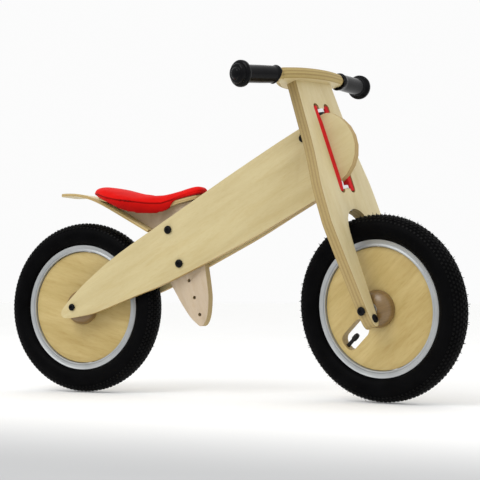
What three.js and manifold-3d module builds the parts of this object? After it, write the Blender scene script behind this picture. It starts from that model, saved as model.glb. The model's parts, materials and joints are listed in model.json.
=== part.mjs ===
// Wooden balance bike. Millimetres, +X forward, +Y to the rider's left, +Z up.
// The origin is on the ground, below the middle of the bike.
import * as THREE from 'three';
import { mergeVertices } from 'three/addons/utils/BufferGeometryUtils.js';
import Module from 'manifold-3d';

const wasm = await Module();
wasm.setup();

// Whole bike
const wheelbase = 552;
const rearAxleX = -274.5;
const frontAxleX = rearAxleX + wheelbase;
const axleHeight = 150;
const headAngle = THREE.MathUtils.degToRad(18.5); // steering axis, back from the vertical
const steerAtRest = THREE.MathUtils.degToRad(-13); // the fork is turned a little to the right
const gap = 0.3; // between pieces that touch

// Wheels
const tyreRadius = 150;
const rimRadius = 110;
const rimHalfWidth = 13;
const discRadius = 98;
const discThickness = 17;
const hubRadius = 30.5;
const hubEnd = 29.5;
const bearing = { bore: 5.3, outer: 13, width: 8 };
const axleRadius = 5;
const slot = { near: 34, far: 89, halfWidth: 15.5, corner: 12 };
const valve = { stem: 3.2, from: 72, cap: 4.5, capFrom: 62, capTo: 74 };
const frontValveAngle = 205;
const rearValveAngle = 35;

// Frame panels: outline in X and height, measured from below the rear axle
const panelThickness = 9;
const noseCentre = [448.4, 406.2];
const noseRadius = 64;
const panelTop = [[-13, 154], [-4, 164], [27, 194.5], [81, 237.5], [166, 292.5], [275, 361], [365, 414.5],
  [417, 443.5], [454, 463.5]];
const panelBottom = [[445, 325.6], [400, 301.3], [334, 265.7], [248, 224.4], [167, 187.4],
  [119, 169.2], [47, 141.5], [8, 133]];
// Half the distance between the panels' outer faces, along X
const panelSpread = [[-40, 49], [0, 45], [60, 39], [120, 33], [190, 25.4], [234, 21.2], [323, 15.4],
  [400, 11.2], [440, 9.5], [470, 9.15], [530, 9.15]];

// Seat plate, a row of six holes
const plateHalf = 8;
const holePitch = [10.28, -28.8];
const firstHole = [180.5, 282.2];
const seatBolt = 2.8;
const boltHead = { radius: 7, height: 3 };

// Fork board, measured from the front axle: y to the side, z along the steering axis
const forkHalf = 9;
const forkTop = 395;
const windowHalf = 22;
const notch = 7.3;
const upperTongue = 340.2;
const lowerTongue = 200.3;
const pivotRadius = 4;
const legInner = 33.7;
const legOuter = 58.8;
const legScrew = { side: 43, height: -16 };

// Handlebar and grips
const barBottom = 387;
const barTop = 406;
const gripStart = [3, 89];
const gripSweep = THREE.MathUtils.degToRad(7.3);
const pegRadius = 9.5;
const gripRadius = 14.2;

const paint = {
  birch: [0xe0d0a0, 0.55, 0],
  seatPly: [0xcdb79a, 0.6, 0],
  beech: [0x94683a, 0.35, 0],
  disc: [0xd2b478, 0.5, 0],
  rubber: [0x141416, 0.85, 0],
  vinyl: [0x0c0c0e, 0.3, 0],
  cover: [0xd81a1a, 0.9, 0],
  pad: [0xc81414, 0.8, 0],
  aluminium: [0xb9bfc4, 0.35, 1],
  steel: [0x9aa0a6, 0.35, 1],
  blackPlastic: [0x0a0a0b, 0.4, 0],
};

// Solids

// Turns a closed mesh the right way out, by the sign of its volume.
function faceOut(geometry) {
  const p = geometry.getAttribute('position');
  const index = geometry.getIndex().array;
  const [a, b, c] = [new THREE.Vector3(), new THREE.Vector3(), new THREE.Vector3()];
  let volume = 0;
  for (let i = 0; i < index.length; i += 3) {
    a.fromBufferAttribute(p, index[i]);
    b.fromBufferAttribute(p, index[i + 1]);
    c.fromBufferAttribute(p, index[i + 2]);
    volume += a.dot(b.cross(c));
  }
  if (volume < 0) {
    for (let i = 0; i < index.length; i += 3) {
      [index[i], index[i + 1]] = [index[i + 1], index[i]];
    }
  }
  return geometry;
}

// Leaves out triangles that have shrunk to a line, where two outline points meet.
function wholeTriangles(index) {
  const kept = [];
  for (let i = 0; i < index.length; i += 3) {
    const [a, b, c] = index.slice(i, i + 3);
    if (a !== b && b !== c && c !== a) {
      kept.push(a, b, c);
    }
  }
  return kept;
}

function solid(geometry) {
  const bare = geometry.clone();
  bare.deleteAttribute('normal');
  bare.deleteAttribute('uv');
  const merged = mergeVertices(bare, 1e-4);
  merged.setIndex(wholeTriangles(Array.from(merged.getIndex().array)));
  faceOut(merged);
  return new wasm.Manifold(new wasm.Mesh({
    numProp: 3,
    vertProperties: new Float32Array(merged.getAttribute('position').array),
    triVerts: new Uint32Array(merged.getIndex().array),
  }));
}

function toGeometry(body) {
  const mesh = body.getMesh();
  const geometry = new THREE.BufferGeometry();
  geometry.setAttribute('position', new THREE.BufferAttribute(mesh.vertProperties, 3));
  geometry.setIndex(new THREE.BufferAttribute(mesh.triVerts, 1));
  geometry.computeVertexNormals();
  return geometry;
}

function cut(body, ...tools) {
  return tools.reduce((left, tool) => left.subtract(tool), body);
}

function spline(points, steps) {
  return new THREE.SplineCurve(points.map(([x, y]) => new THREE.Vector2(x, y))).getPoints(steps);
}

// A flat board: its outline is in X and Z, its thickness along Y.
function boardXZ(shape, fromY, toY, curveSegments = 12) {
  const geometry = new THREE.ExtrudeGeometry(shape, { depth: toY - fromY, bevelEnabled: false, curveSegments });
  return solid(geometry.rotateX(Math.PI / 2).translate(0, toY, 0));
}

// A flat board: its outline is in Y and Z, its thickness along X.
function boardYZ(shape, fromX, toX, curveSegments = 12) {
  const geometry = new THREE.ExtrudeGeometry(shape, { depth: toX - fromX, bevelEnabled: false, curveSegments });
  return solid(geometry.rotateX(Math.PI / 2).rotateZ(Math.PI / 2).translate(fromX, 0, 0));
}

// A flat board: its outline is in X and Y, its thickness along Z.
function boardXY(shape, fromZ, toZ, curveSegments = 12) {
  const geometry = new THREE.ExtrudeGeometry(shape, { depth: toZ - fromZ, bevelEnabled: false, curveSegments });
  return solid(geometry.translate(0, 0, fromZ));
}

function turned(profile, segments) {
  const points = profile.map(([r, y]) => new THREE.Vector2(r, y));
  return solid(new THREE.LatheGeometry(points, segments));
}

// A round rod or bore along Y, from y0 to y1.
function rodY(radius, y0, y1, x = 0, z = 0, segments = 14) {
  const geometry = new THREE.CylinderGeometry(radius, radius, y1 - y0, segments);
  return solid(geometry.translate(x, (y0 + y1) / 2, z));
}

function rodZ(radius, z0, z1, segments = 14) {
  const geometry = new THREE.CylinderGeometry(radius, radius, z1 - z0, segments);
  return solid(geometry.rotateX(Math.PI / 2).translate(0, 0, (z0 + z1) / 2));
}

function add(parent, name, body, finish) {
  const [color, roughness, metalness] = finish;
  const material = new THREE.MeshStandardMaterial({ color, roughness, metalness });
  const mesh = new THREE.Mesh(toGeometry(body), material);
  mesh.name = name;
  parent.add(mesh);
}

// Wheels, turned about Y with the valve along +X

function tyre() {
  const half = [[103, 10.1], [111, 10.9], [115, 18], [130, 22], [142, 17.4]];
  const inside = [[138, 14.4], [118, 14.6], [103, 7]];
  const mirror = (list) => list.map(([r, y]) => [r, -y]).reverse();
  const profile = [...half, [tyreRadius, 0], ...mirror(half), ...mirror(inside), [146.4, 0], ...inside];
  return turned([...profile, profile[0]], 36).rotate([0, 5, 0]);
}

function ring(radius, section, segments, sides) {
  const profile = [];
  for (let i = 0; i <= sides; i += 1) {
    const turn = (i % sides) / sides * 2 * Math.PI;
    profile.push([radius + section * Math.cos(turn), section * Math.sin(turn)]);
  }
  return turned(profile, segments);
}

// A rod or bore that points away from the wheel's centre, along +X.
function spoke(radius, from, to) {
  const geometry = new THREE.CylinderGeometry(radius, radius, to - from, 10);
  return solid(geometry.rotateZ(Math.PI / 2).translate((from + to) / 2, 0, 0));
}

function innerTube() {
  const bag = ring(127, 13.5, 24, 6).add(spoke(valve.stem, valve.from, 116));
  return cut(bag, ring(127, 12, 24, 6), spoke(1.6, valve.from - 1, 120));
}

function rim() {
  const half = [[discRadius + 0.8, rimHalfWidth], [rimRadius, rimHalfWidth], [rimRadius, 11.2], [101, 10.8]];
  const profile = [...half, ...half.map(([r, y]) => [r, -y]).reverse()];
  return cut(turned([...profile, profile[0]], 36), spoke(valve.stem + gap, 90, 108));
}

function slotShape() {
  const { near, far, halfWidth, corner } = slot;
  const shape = new THREE.Shape();
  shape.moveTo(near + corner, -halfWidth);
  shape.lineTo(far - corner, -halfWidth);
  shape.absarc(far - corner, -halfWidth + corner, corner, -Math.PI / 2, 0);
  shape.absarc(far - corner, halfWidth - corner, corner, 0, Math.PI / 2);
  shape.lineTo(near + corner, halfWidth);
  shape.absarc(near + corner, halfWidth - corner, corner, Math.PI / 2, Math.PI);
  shape.absarc(near + corner, corner - halfWidth, corner, Math.PI, 1.5 * Math.PI);
  return shape;
}

function wheelDisc() {
  const shape = new THREE.Shape().absarc(0, 0, discRadius, 0, 2 * Math.PI);
  const half = discThickness / 2;
  const blank = boardXZ(shape, -half, half, 24);
  return cut(blank, rodY(6, -half - 1, half + 1), boardXZ(slotShape(), -half - 1, half + 1, 4),
    spoke(valve.stem + gap, 80, discRadius + 2));
}

function hubDome() {
  const base = discThickness / 2 + gap;
  const seat = base + bearing.width + 2 * gap;
  const profile = [[bearing.outer + gap, base], [hubRadius - 1, base], [hubRadius, base + 3], [28.8, 19],
    [22, 25.8], [8.5, hubEnd], [6.5, hubEnd], [6.5, seat], [bearing.outer + gap, seat]];
  return turned([...profile, profile[0]], 22);
}

function bearingRing() {
  const from = discThickness / 2 + 2 * gap;
  const to = from + bearing.width;
  const profile = [[bearing.bore, from], [bearing.outer, from], [bearing.outer, to], [bearing.bore, to]];
  return turned([...profile, profile[0]], 16);
}

function addWheel(parent, prefix, valveAngle) {
  const wheel = new THREE.Group();
  wheel.rotation.y = -THREE.MathUtils.degToRad(valveAngle);
  parent.add(wheel);
  add(wheel, `${prefix}_tyre`, tyre(), paint.rubber);
  add(wheel, `${prefix}_inner_tube`, innerTube(), paint.rubber);
  add(wheel, `${prefix}_rim`, rim(), paint.aluminium);
  add(wheel, `${prefix}_wheel_disc`, wheelDisc(), paint.disc);
  const cap = cut(spoke(valve.cap, valve.capFrom, valve.capTo), spoke(valve.stem + gap, valve.from - gap, 80));
  add(wheel, `${prefix}_valve_cap`, cap, paint.blackPlastic);
  for (const [side, sign] of [['left', 1], ['right', -1]]) {
    add(wheel, `${prefix}_hub_${side}`, hubDome().scale([1, sign, 1]), paint.beech);
    add(wheel, `${prefix}_bearing_${side}`, bearingRing().scale([1, sign, 1]), paint.steel);
  }
}

// Fasteners

// A screw along Y with a domed black head at y0, whose shank runs to y1.
function screwY(radius, head, y0, y1) {
  const out = Math.sign(y0 - y1);
  const profile = [[0, y1], [radius, y1], [radius, y0], [head.radius, y0],
    [head.radius, y0 + out * head.height * 0.45], [head.radius * 0.78, y0 + out * head.height * 0.85],
    [head.radius * 0.4, y0 + out * head.height], [0, y0 + out * head.height]];
  return turned(profile, 14);
}

// A sleeve nut along Y: the same head at y0, and a tube to y1 that takes the screw.
function sleeveNutY(outer, bore, head, y0, y1) {
  return cut(screwY(outer, head, y0, y1), rodY(bore, Math.min(y0, y1) - 1, Math.max(y0, y1) - 3));
}

function washerY(outer, y0, y1) {
  const profile = [[axleRadius + gap, y0], [outer, y0], [outer, y1], [axleRadius + gap, y1]];
  return turned([...profile, profile[0]], 18);
}

// An axle with one black head, and its nut on the left end.
function addAxle(parent, name, headAt, headRadius) {
  const head = { radius: headRadius, height: boltHead.height };
  add(parent, `${name}_axle`, screwY(axleRadius, head, -headAt, headAt - 8), paint.blackPlastic);
  add(parent, `${name}_axle_nut`, screwY(axleRadius, head, headAt, headAt - 7), paint.blackPlastic);
}

// Frame

function spreadAt(x) {
  const next = panelSpread.findIndex(([at]) => at > x);
  const [[x0, w0], [x1, w1]] = [panelSpread[next - 1], panelSpread[next]];
  return w0 + (w1 - w0) * (x - x0) / (x1 - x0);
}

function panelShape() {
  const shape = new THREE.Shape();
  shape.moveTo(...panelTop[0]);
  shape.splineThru(panelTop.slice(1).map(([x, z]) => new THREE.Vector2(x, z)));
  shape.quadraticCurveTo(462, 467.8, 472.6, 465.5);
  shape.absarc(noseCentre[0], noseCentre[1], noseRadius, 1.18, -0.95, true);
  shape.lineTo(...panelBottom[0]);
  shape.splineThru(panelBottom.slice(1).map(([x, z]) => new THREE.Vector2(x, z)));
  shape.bezierCurveTo(-8, 130, -17, 129, -20.5, 135);
  shape.bezierCurveTo(-24, 141, -19, 147, -13, 154);
  return shape;
}

// The space between two offsets of the panels' spread, as a solid all the way up.
function spreadBand(inner, outer) {
  const near = panelSpread.map(([x, w]) => new THREE.Vector2(x, inner(w)));
  const far = panelSpread.map(([x, w]) => new THREE.Vector2(x, outer(w))).reverse();
  return boardXY(new THREE.Shape([...near, ...far]), 0, 520);
}

// A bore along the steering axis, in the frame's own coordinates.
function pivotBore(radius, from, to) {
  const body = rodZ(radius, from, to);
  return body.rotate([0, -THREE.MathUtils.radToDeg(headAngle), 0]).translate([wheelbase, 0, axleHeight]);
}

function headPoint(forward, along) {
  const [c, s] = [Math.cos(headAngle), Math.sin(headAngle)];
  return [wheelbase + forward * c - along * s, axleHeight + forward * s + along * c];
}

const headBolts = { upper: headPoint(-34.5, 304), lower: headPoint(-28, 224) };
const seatBolts = {
  upper: firstHole,
  lower: [firstHole[0] + 2 * holePitch[0], firstHole[1] + 2 * holePitch[1]],
};

// The left panel; the right one is its mirror image.
function sidePanel(boltBore) {
  const board = boardXZ(panelShape(), 0, 60, 4);
  const skin = spreadBand((w) => w - panelThickness, (w) => w);
  const bores = [...Object.values(headBolts), ...Object.values(seatBolts)];
  return cut(board.intersect(skin), ...bores.map(([x, z]) => rodY(boltBore, -1, 60, x, z, 12)),
    rodY(axleRadius + gap, 0, 60, 0, axleHeight), pivotBore(pivotRadius + gap, 283, 340),
    pivotBore(pivotRadius + gap, 190, 254));
}

function seatPlateShape() {
  const shape = new THREE.Shape();
  shape.moveTo(88.5, 313.95);
  shape.lineTo(90, 327);
  shape.splineThru([[119, 322.6], [147, 318.8], [166, 319.6], [189, 326], [222, 332.5]]
    .map(([x, z]) => new THREE.Vector2(x, z)));
  shape.splineThru([[232, 285], [241, 224], [247.5, 180], [248.4, 160], [246, 136], [240, 122], [233, 118.6],
    [226, 123], [213, 135], [194.8, 160.4], [175, 193]].map(([x, z]) => new THREE.Vector2(x, z)));
  shape.lineTo(145.5, 282.8);
  return shape;
}

function seatPlate() {
  const bores = [0, 1, 2, 3, 4, 5].map((i) => rodY(seatBolt + gap, -20, 20,
    firstHole[0] + i * holePitch[0], firstHole[1] + i * holePitch[1], 12));
  const screwBores = [...mudguardScrewsAt.map((x) => mudguardScrew(x, 2.1, 0)),
    ...saddleScrewsAt.map((x) => saddleScrew(x, 2.1, 0))];
  return cut(boardXZ(seatPlateShape(), -plateHalf, plateHalf, 3), ...bores, ...screwBores);
}

// The wooden packing between the seat plate and the left panel.
function seatSpacer() {
  const [from, to] = [seatBolts.upper, seatBolts.lower];
  const lean = Math.atan2(to[1] - from[1], to[0] - from[0]);
  const shape = new THREE.Shape();
  shape.absarc(to[0], to[1], 11, lean - Math.PI / 2, lean + Math.PI / 2);
  shape.absarc(from[0], from[1], 11, lean + Math.PI / 2, lean + 1.5 * Math.PI);
  const block = boardXZ(shape, plateHalf + gap, 40, 8);
  const room = spreadBand(() => -plateHalf, (w) => w - panelThickness - gap);
  const bores = Object.values(seatBolts).map(([x, z]) => rodY(4.3, 0, 60, x, z, 12));
  return cut(block.intersect(room), ...bores);
}

// A bolt through both panels, with its sleeve nut on the left.
function addFrameBolt(parent, name, [x, z], sleeveEnd) {
  const at = spreadAt(x) + 3 * gap;
  const bolt = screwY(seatBolt, boltHead, -at, at - 4).translate([x, 0, z]);
  const nut = sleeveNutY(4, seatBolt + gap, boltHead, at, sleeveEnd).translate([x, 0, z]);
  add(parent, `${name}_bolt`, bolt, paint.blackPlastic);
  add(parent, `${name}_nut`, nut, paint.blackPlastic);
}

// Mudguard: one bent strip, fixed to the seat plate's back edge

const guardTop = [[-38, 350.6], [-20, 350.9], [0, 349.6], [20, 345.4], [40, 338.3], [62, 327.8], [84, 316]];
const guardEnd = [144, 283.2];
const guardThickness = 4.8;
const guardHalfWidth = 31;
const mudguardScrewsAt = [101, 122];

function guardHeight(x) {
  const [[x0, z0], [x1, z1]] = [guardTop[guardTop.length - 1], guardEnd];
  return z0 + (z1 - z0) * (x - x0) / (x1 - x0);
}

function stripShape(line, thickness) {
  const under = line.map((point, i) => {
    const [a, b] = [line[Math.max(i - 1, 0)], line[Math.min(i + 1, line.length - 1)]];
    const along = new THREE.Vector2().subVectors(b, a).normalize();
    return new THREE.Vector2(point.x + along.y * thickness, point.y - along.x * thickness);
  });
  return new THREE.Shape([...line, ...under.reverse()]);
}

function mudguard() {
  const line = [...spline(guardTop, 14), new THREE.Vector2(...guardEnd)];
  const plan = new THREE.Shape();
  plan.moveTo(150, -guardHalfWidth);
  plan.lineTo(150, guardHalfWidth);
  plan.lineTo(-26, guardHalfWidth);
  plan.absarc(-26, guardHalfWidth - 12, 12, Math.PI / 2, Math.PI);
  plan.absarc(-26, 12 - guardHalfWidth, 12, Math.PI, 1.5 * Math.PI);
  const strip = boardXZ(stripShape(line, guardThickness), -guardHalfWidth - 5, guardHalfWidth + 5);
  return cut(strip.intersect(boardXY(plan, 250, 370, 5)), ...mudguardScrewsAt.map((x) => mudguardScrew(x, 2.1, 0)));
}

// A screw up through the mudguard into the seat plate's edge. Its head is under the strip.
function mudguardScrew(x, radius, head) {
  const lean = Math.atan2(guardEnd[1] - guardTop[6][1], guardEnd[0] - guardTop[6][0]);
  const profile = [[0, 16], [radius, 16], [radius, -guardThickness - gap]];
  if (head) {
    profile.push([head, -guardThickness - gap], [head * 0.6, -guardThickness - 2.4]);
  }
  const lowest = head ? -guardThickness - 2.4 : -guardThickness - 3;
  profile.push([head ? head * 0.6 : radius, lowest], [0, lowest]);
  return turned(profile.filter((p, i) => i === 0 || p.join() !== profile[i - 1].join()), 14)
    .rotate([90, 0, 0]).rotate([0, -THREE.MathUtils.radToDeg(lean), 0]).translate([x, 0, guardHeight(x)]);
}

// Saddle

const shellLine = [[36, 347], [55, 342.5], [79, 336.4], [119, 329.2], [147, 325.6], [166, 326.2], [189, 332.6],
  [215, 338.5], [234, 341.9]];
const shellThickness = 6;
const coverLine = [[34, 349], [39, 354.6], [50, 357.6], [64, 357.4], [90, 353.2], [119, 348.2], [145, 344],
  [165, 344], [182, 347], [207, 352.6], [226, 355.2], [236, 353.6], [240, 348.6]];
const coverUnder = [[237, 343.8], [215, 339.3], [189, 333.4], [186, 325], [178.5, 317], [166, 311.6], [148, 309.2],
  [130, 309.6], [112, 313], [92, 321], [70, 333], [50, 342], [38, 345.4]];
const saddleScrewsAt = [122, 160];

function saddlePlan(grow) {
  const side = [[36, 0], [39.5, 21], [49, 38.5], [62, 51], [79, 57], [100, 55.5], [122, 47], [143, 34.5], [162, 24],
    [185, 18], [212, 15.5], [226, 14], [232.5, 8], [234, 0]];
  const scaled = side.map(([x, y]) => [x + grow * (x < 70 ? -1 : 1) * (x < 70 || x > 220 ? 1 : 0),
    y === 0 ? 0 : y + grow]);
  const half = spline(scaled, 20);
  const other = half.slice(1, -1).map((p) => new THREE.Vector2(p.x, -p.y)).reverse();
  return new THREE.Shape([...half, ...other]);
}

function saddleShell() {
  const strip = boardXZ(stripShape(spline(shellLine, 16), shellThickness), -80, 80);
  return cut(strip.intersect(boardXY(saddlePlan(0), 290, 380)), ...saddleScrewsAt.map((x) => saddleScrew(x, 2.1, 0)));
}

function shellHeight(x) {
  const next = shellLine.findIndex(([at]) => at > x);
  const [[x0, z0], [x1, z1]] = [shellLine[next - 1], shellLine[next]];
  return z0 + (z1 - z0) * (x - x0) / (x1 - x0);
}

// A screw down through the shell into the seat plate's top edge.
function saddleScrew(x, radius, head) {
  const top = 1.2;
  const profile = head ? [[0, -22], [radius, -22], [radius, top], [head, top], [head * 0.6, top + 2.2], [0, top + 2.2]]
    : [[0, -23], [radius, -23], [radius, 6], [0, 6]];
  return turned(profile, 14).rotate([90, 0, 0]).translate([x, 0, shellHeight(x)]);
}

function saddleCover() {
  const side = new THREE.Shape([...spline(coverLine, 20), ...spline(coverUnder, 20)]);
  const block = boardXZ(side, -70, 70).intersect(boardXY(saddlePlan(5), 290, 380));
  const above = spline(shellLine, 16).map((p) => new THREE.Vector2(p.x, p.y + 0.6));
  const room = new THREE.Shape([new THREE.Vector2(26, 350.4), ...above, new THREE.Vector2(250, 344.4),
    new THREE.Vector2(250, 290), new THREE.Vector2(20, 290)]);
  const hollow = boardXZ(room, -70, 70).intersect(boardXY(saddlePlan(0.6), 280, 390));
  const pockets = saddleScrewsAt.map((x) => saddleScrew(x, 6, 0));
  return cut(block, hollow, ...pockets);
}

// Fork

function forkShape() {
  const side = [[75.6, 160], [75.7, 140], [70.5, 95], [63.5, 45], [58, 3], [55, -14]];
  const neck = [[49.5, 392], [54.5, 335], [59.5, 275], [66.5, 236], [72.5, 205]];
  const right = neck.concat(side).map(([y, z]) => new THREE.Vector2(y, z));
  const left = right.map((p) => new THREE.Vector2(-p.x, p.y)).reverse();
  const shape = new THREE.Shape();
  shape.moveTo(-46.5, forkTop);
  shape.lineTo(46.5, forkTop);
  shape.lineTo(right[0].x, right[0].y);
  shape.splineThru(right.slice(1));
  shape.bezierCurveTo(53, -24, 49, -29, 43, -29);
  shape.bezierCurveTo(38, -29, 33.8, -24, 33.8, -15);
  shape.splineThru([[33.8, 10], [34.6, 60], [34.6, 100], [31.6, 136], [21, 157], [0, 165.5], [-21, 157],
    [-31.6, 136], [-34.6, 100], [-34.6, 60], [-33.8, 10], [-33.8, -15]].map(([y, z]) => new THREE.Vector2(y, z)));
  shape.bezierCurveTo(-33.8, -24, -38, -29, -43, -29);
  shape.bezierCurveTo(-49, -29, -53, -24, -55, -14);
  shape.splineThru(left.slice(1));
  return shape;
}

// The steering window: a slot with two rounded notches at each end, and a tongue between them.
function windowShape() {
  const middle = windowHalf - notch;
  const top = upperTongue + 1.5;
  const path = new THREE.Shape();
  path.moveTo(-windowHalf, lowerTongue);
  path.lineTo(-windowHalf, top);
  path.absarc(-middle, top, notch, Math.PI, 0, true);
  path.lineTo(notch - middle, upperTongue);
  path.lineTo(middle - notch, upperTongue);
  path.absarc(middle, top, notch, Math.PI, 0, true);
  path.lineTo(windowHalf, lowerTongue);
  path.absarc(middle, lowerTongue, notch, 0, -Math.PI, true);
  path.lineTo(notch - middle, lowerTongue);
  path.absarc(-middle, lowerTongue, notch, 0, -Math.PI, true);
  return path;
}

function forkBoard() {
  const board = boardYZ(forkShape(), -forkHalf, forkHalf, 3);
  const screws = [-legScrew.side, legScrew.side].map((y) => legScrewBody(y, 3.1, 0));
  const steeringWindow = boardYZ(windowShape(), -forkHalf - 1, forkHalf + 1, 3);
  const bores = [rodZ(pivotRadius + gap, 160, 210), rodZ(7, 150, 172.5), rodZ(pivotRadius + gap, 330, 400),
    rodZ(7, 387.5, 400)];
  return cut(board, steeringWindow, rodY(axleRadius + gap, -80, 80), ...bores, ...screws);
}

function legScrewBody(y, radius, head) {
  const profile = head
    ? [[0, -5], [radius, -5], [radius, forkHalf + gap], [head, forkHalf + gap], [head, 10.8], [head * 0.75, 12],
      [0, 12.4]]
    : [[0, -6], [radius, -6], [radius, 14], [0, 14]];
  return turned(profile, 18).rotate([0, 0, -90]).translate([0, y, legScrew.height]);
}

function pivotBolt(from, to, headFrom, headTo) {
  return rodZ(pivotRadius, from, to).add(rodZ(6.5, headFrom, headTo, 6));
}

function thrustBearing(from, to) {
  return cut(rodZ(10, from, to, 20), rodZ(pivotRadius + gap, from - 1, to + 1));
}

function bumper() {
  const body = new THREE.BoxGeometry(2 * forkHalf - 2.4, 6.4, 138, 1, 1, 1);
  return solid(body.translate(0, windowHalf - gap - 3.2, 270.5));
}

// Handlebar

function barShape() {
  const front = [[25, 0], [24.3, 25], [22, 50], [18.5, 72], [15, 88]];
  const back = [[-10, 87.2], [-12, 76], [-20, 62], [-27, 42], [-30, 18]];
  const mirror = (list) => list.map(([x, y]) => [x, -y]).reverse();
  const outline = [...front, ...back, ...mirror(back), ...mirror(front.slice(1))];
  const shape = new THREE.Shape();
  shape.moveTo(...outline[0]);
  shape.splineThru(front.slice(1).map(([x, y]) => new THREE.Vector2(x, y)));
  shape.lineTo(...back[0]);
  shape.splineThru([...back.slice(1), ...mirror(back)].map(([x, y]) => new THREE.Vector2(x, y)));
  shape.lineTo(...mirror(front)[0]);
  shape.splineThru(mirror(front).slice(1).map(([x, y]) => new THREE.Vector2(x, y)));
  return shape;
}

// Places a piece that is built along +Y from its inner end on the left grip's axis.
function onGripAxis(body) {
  return body.rotate([0, 0, THREE.MathUtils.radToDeg(gripSweep)])
    .translate([gripStart[0], gripStart[1], (barBottom + barTop) / 2]);
}

function handlebar() {
  const board = boardXY(barShape(), barBottom, barTop, 3);
  const left = onGripAxis(rodY(pegRadius, -14, 81, 0, 0, 18));
  const mortise = solid(new THREE.BoxGeometry(2 * forkHalf + 2 * gap, 100, 20)
    .translate(0, 0, forkTop + gap - 10));
  return cut(board.add(left).add(left.scale([1, -1, 1])), mortise);
}

function grip() {
  const profile = [[pegRadius + gap, 0.5], [gripRadius, 0.5], [gripRadius, 74], [20.5, 78.2], [21, 84],
    [15.6, 86.6], [14.4, 91.4], [8.8, 93], [6.5, 96], [0, 96.4], [0, 82], [pegRadius + gap, 82]];
  return turned([...profile, profile[0]], 20);
}

function addFrame(parent) {
  const frame = new THREE.Group();
  frame.position.set(rearAxleX, 0, 0);
  parent.add(frame);
  add(frame, 'side_panel_left', sidePanel(4.3), paint.birch);
  add(frame, 'side_panel_right', sidePanel(seatBolt + gap).scale([1, -1, 1]), paint.birch);
  addFrameBolt(frame, 'head_upper', headBolts.upper, 2);
  addFrameBolt(frame, 'head_lower', headBolts.lower, 2);
  add(frame, 'seat_plate', seatPlate(), paint.seatPly);
  add(frame, 'seat_spacer_left', seatSpacer(), paint.birch);
  add(frame, 'seat_spacer_right', seatSpacer().scale([1, -1, 1]), paint.birch);
  addFrameBolt(frame, 'seat_upper', seatBolts.upper, plateHalf + 2);
  addFrameBolt(frame, 'seat_lower', seatBolts.lower, plateHalf + 2);
  add(frame, 'mudguard', mudguard(), paint.birch);
  mudguardScrewsAt.forEach((x, i) => add(frame, `mudguard_screw_${i + 1}`, mudguardScrew(x, 1.8, 4), paint.steel));
  add(frame, 'saddle_shell', saddleShell(), paint.birch);
  saddleScrewsAt.forEach((x, i) => add(frame, `saddle_screw_${i + 1}`, saddleScrew(x, 1.8, 4), paint.steel));
  add(frame, 'saddle_cover', saddleCover(), paint.cover);
  const rear = new THREE.Group();
  rear.position.z = axleHeight;
  frame.add(rear);
  addAxle(rear, 'rear', spreadAt(0) + 0.9, 6);
  const inside = spreadAt(0) - panelThickness - 1;
  add(rear, 'rear_spacer_left', washerY(8.5, hubEnd + gap, inside), paint.steel);
  add(rear, 'rear_spacer_right', washerY(8.5, -inside, -hubEnd - gap), paint.steel);
  addWheel(rear, 'rear', rearValveAngle);
}

function addFork(parent) {
  const head = new THREE.Group();
  head.position.set(frontAxleX, 0, axleHeight);
  head.rotation.y = -headAngle;
  parent.add(head);
  const fork = new THREE.Group();
  fork.rotation.z = steerAtRest;
  head.add(fork);
  add(fork, 'fork_board', forkBoard(), paint.birch);
  add(fork, 'handlebar', handlebar(), paint.birch);
  for (const [side, sign] of [['left', 1], ['right', -1]]) {
    add(fork, `grip_${side}`, onGripAxis(grip()).scale([1, sign, 1]), paint.vinyl);
    add(fork, `bumper_${side}`, bumper().scale([1, sign, 1]), paint.pad);
    add(fork, `leg_screw_${side}`, legScrewBody(sign * legScrew.side, 2.8, boltHead.radius), paint.blackPlastic);
    const [a, b] = [hubEnd + gap, hubEnd + 2];
    const [c, d] = [b + gap, legInner - 0.4];
    add(fork, `front_washer_${side}`, washerY(10.5, a, b).scale([1, sign, 1]), paint.steel);
    add(fork, `front_spacer_${side}`, washerY(8.5, c, d).scale([1, sign, 1]), paint.blackPlastic);
  }
  add(fork, 'pivot_bolt_upper', pivotBolt(288, 388.3, 388.2, 394.2), paint.steel);
  add(fork, 'pivot_bolt_lower', pivotBolt(171.8, 250, 165.5, 172), paint.steel);
  add(fork, 'pivot_bearing_upper', thrustBearing(333.8, upperTongue - gap), paint.steel);
  add(fork, 'pivot_bearing_lower', thrustBearing(lowerTongue + gap, 206), paint.steel);
  addAxle(fork, 'front', legOuter + gap + 0.3, boltHead.radius);
  addWheel(fork, 'front', frontValveAngle);
}

const group = new THREE.Group();
addFrame(group);
addFork(group);

export default group;
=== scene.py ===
# Wooden balance bike: looks, light and camera.
# The scene is in metres; a piece's sizes are in millimetres and its angles in degrees.
import json
import math
import bpy
from mathutils import Matrix, Vector

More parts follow.
